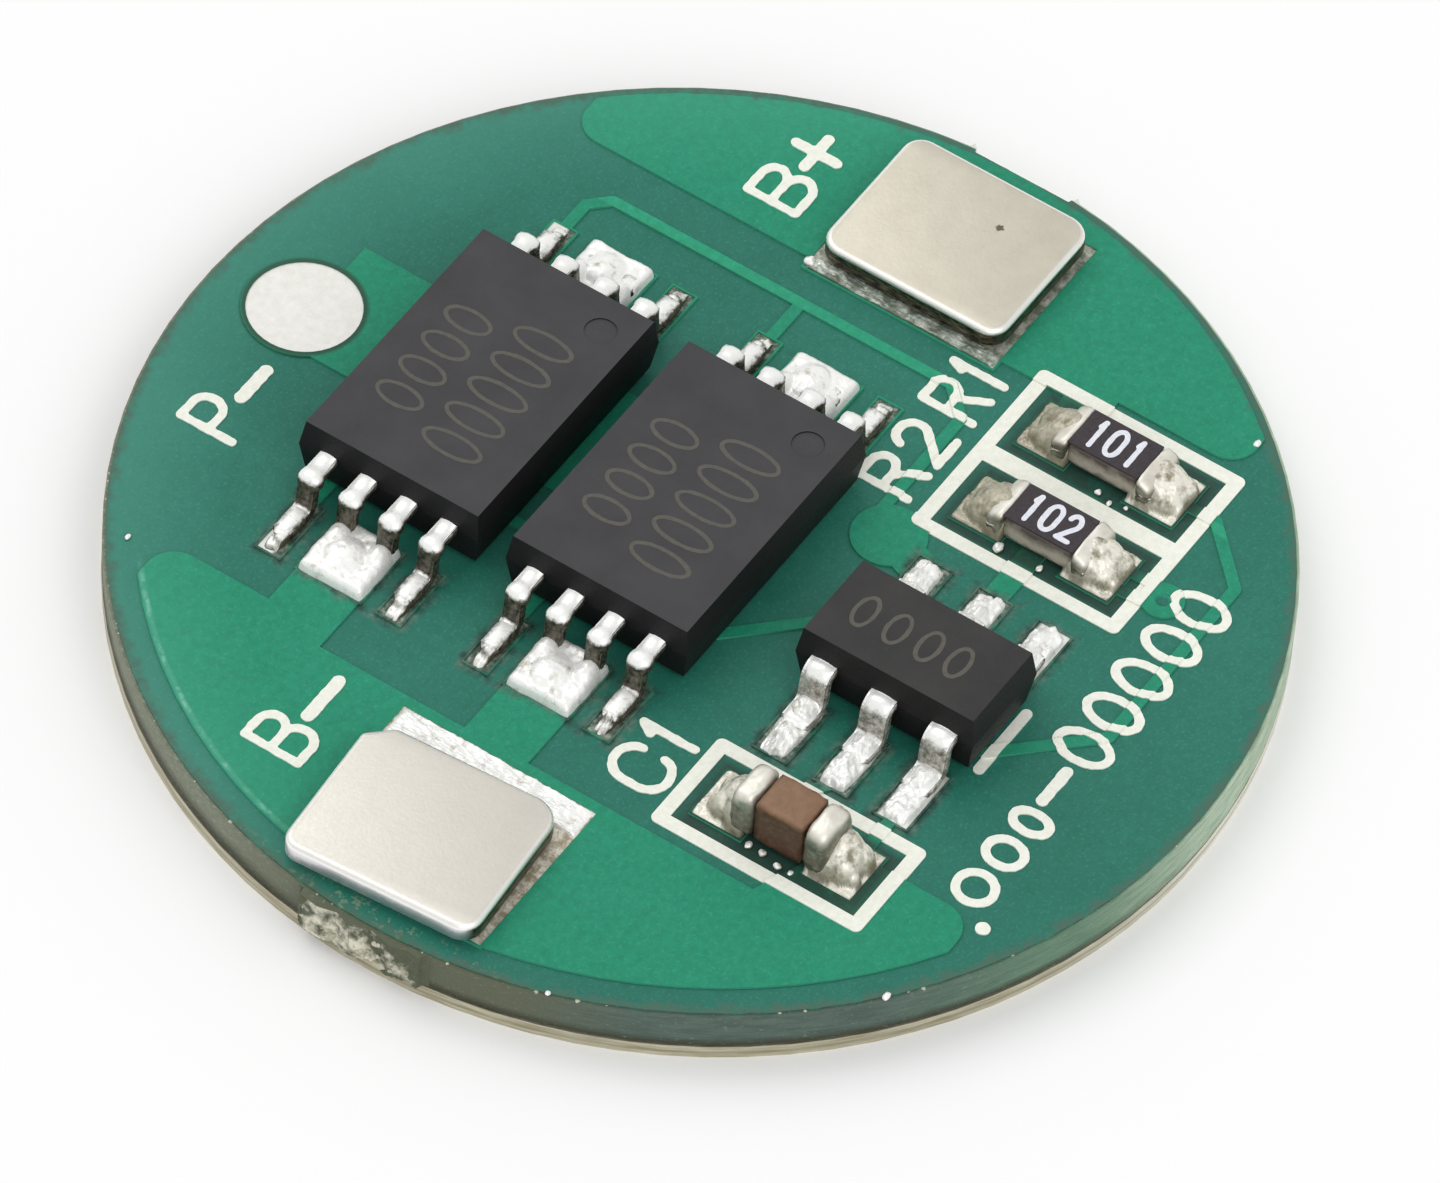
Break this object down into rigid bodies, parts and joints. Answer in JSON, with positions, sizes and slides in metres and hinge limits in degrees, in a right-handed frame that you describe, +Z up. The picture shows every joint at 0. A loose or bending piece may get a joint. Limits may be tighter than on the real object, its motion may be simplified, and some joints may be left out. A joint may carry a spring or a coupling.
{
  "type": "battery management board",
  "caption": "Round green protection board for a single battery cell, with a metal contact below and cell tabs, moulded transistors, a controller and small chips on top.",
  "frame": {"origin": "centre of the underside of the metal contact, which the board stands on", "axes": "+Z up through the board to the component side; +X to the positive cell tab; +Y to the output land"},
  "size_m": [0.0161, 0.016, 0.002],
  "materials": {
    "laminate": "glass-fibre laminate, matt",
    "contact": "nickel-plated, satin",
    "joint": "bonding layer, dark",
    "copper": "copper foil",
    "tin": "tinned, matt",
    "mask": "green solder mask, satin",
    "ink": "white print",
    "tab": "nickel, fine matt",
    "solder": "solder, bright",
    "lead": "tinned lead frame",
    "epoxy": "moulded epoxy, matt black",
    "silicon": "silicon die",
    "alumina": "white ceramic",
    "glaze": "black overcoat",
    "capacitor": "brown ceramic, matt"
  },
  "bodies": {
    "root": {"laminate": "laminate", "bottom_contact": "contact", "contact_joint": "joint", "positive_pour": "copper", "negative_pour": "copper", "output_pour": "copper", "left_gate_track": "copper", "right_gate_track": "copper", "sense_track": "copper", "supply_track": "copper", "output_via": "copper", "drain_lands": "copper", "tin_finish": "tin", "solder_mask": "mask", "legend_frames": "ink", "positive_tab": "tab", "positive_tab_solder": "solder", "negative_tab": "tab", "negative_tab_solder": "solder", "mosfet_a_body": "epoxy", "mosfet_a_drain_frame": "lead", "mosfet_a_source_leads": "lead", "mosfet_a_gate_leads": "lead", "mosfet_a_die": "silicon", "mosfet_a_solder": "solder", "mosfet_b_body": "epoxy", "mosfet_b_drain_frame": "lead", "mosfet_b_source_leads": "lead", "mosfet_b_gate_leads": "lead", "mosfet_b_die": "silicon", "mosfet_b_solder": "solder", "controller_body": "epoxy", "controller_ground_frame": "lead", "controller_leads": "lead", "controller_die": "silicon", "controller_solder": "solder", "r1_substrate": "alumina", "r1_overcoat": "glaze", "r1_terminals": "lead", "r1_solder": "solder", "r2_substrate": "alumina", "r2_overcoat": "glaze", "r2_terminals": "lead", "r2_solder": "solder", "c1_ceramic": "capacitor", "c1_terminals": "lead", "c1_solder": "solder"}
  },
  "joints": []
}
